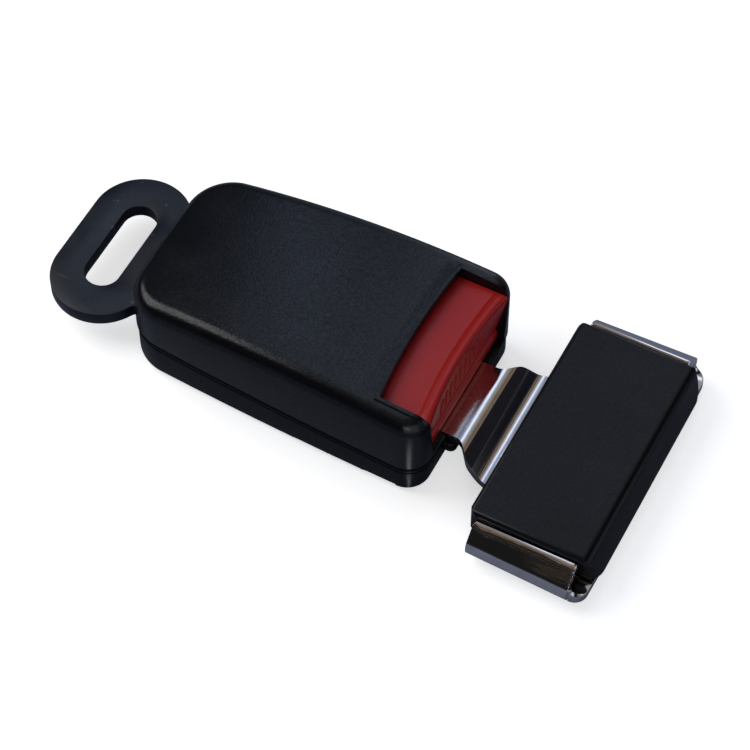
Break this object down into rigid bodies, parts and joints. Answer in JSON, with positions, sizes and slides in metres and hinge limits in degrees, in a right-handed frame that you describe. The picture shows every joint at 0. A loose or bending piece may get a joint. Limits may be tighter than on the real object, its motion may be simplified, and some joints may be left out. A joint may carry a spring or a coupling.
{
  "type": "seat belt buckle",
  "caption": "Lap belt buckle with push button release, steel anchor plate, and an inserted tongue carrying a sliding belt adjuster.",
  "frame": {"origin": "on the flat underside of the lower housing, at the middle of the housing's length and width", "axes": "+X from the anchor plate towards the belt adjuster, along which the tongue leaves; +Z out of the top of the housing; +Y across"},
  "size_m": [0.1482, 0.0706, 0.0265],
  "materials": {
    "housing_plastic": "fine grain, matte",
    "cover_plastic": "fine grain, satin",
    "red_plastic": "satin",
    "white_plastic": "smooth",
    "black_steel": "satin black coating",
    "tongue_steel": "bright plated",
    "bright_steel": "bright plated",
    "zinc_steel": "zinc plated",
    "spring_steel": "drawn wire"
  },
  "bodies": {
    "housing": {"upper_housing": "housing_plastic", "lower_housing": "housing_plastic", "housing_screws": "zinc_steel", "buckle_frame": "zinc_steel", "anchor_plate": "black_steel", "anchor_rivets": "zinc_steel", "latch_pin": "bright_steel", "pin_clips": "bright_steel", "spring_stop": "zinc_steel", "latch_spring": "spring_steel", "button_spring_left": "spring_steel", "button_spring_right": "spring_steel", "ejector_spring": "spring_steel"},
    "button": {"press_button": "red_plastic", "lock_bar": "bright_steel"},
    "latch": {"latch_pawl": "bright_steel"},
    "ejector": {"ejector": "white_plastic"},
    "tongue": {"tongue_frame": "tongue_steel"},
    "slider": {"slide_bar": "bright_steel", "adjuster_cover": "cover_plastic"}
  },
  "joints": [
    {"name": "button_press", "type": "slide", "parent": "housing", "child": "button", "axis": [-1, 0, 0], "range_m": [0, 0.0055], "stiffness_N_per_m": 1500, "deforming": ["button_spring_left", "button_spring_right"]},
    {"name": "latch_drop", "type": "hinge", "parent": "housing", "child": "latch", "pos_m": [-0.014, 0, 0.0122], "axis": [0, 1, 0], "range_deg": [0, 6.3], "deforming": ["latch_spring"]},
    {"name": "tongue_release", "type": "slide", "parent": "housing", "child": "tongue", "axis": [1, 0, 0], "range_m": [0, 0.036]},
    {"name": "ejector_slide", "type": "slide", "parent": "housing", "child": "ejector", "axis": [1, 0, 0], "range_m": [0, 0.0054], "deforming": ["ejector_spring"]},
    {"name": "belt_clamp", "type": "slide", "parent": "tongue", "child": "slider", "axis": [1, 0, 0], "range_m": [0, 0.003]}
  ],
  "couplings": [
    {"joint": "ejector_slide", "follows": "tongue_release", "ratio": 0.15}
  ]
}
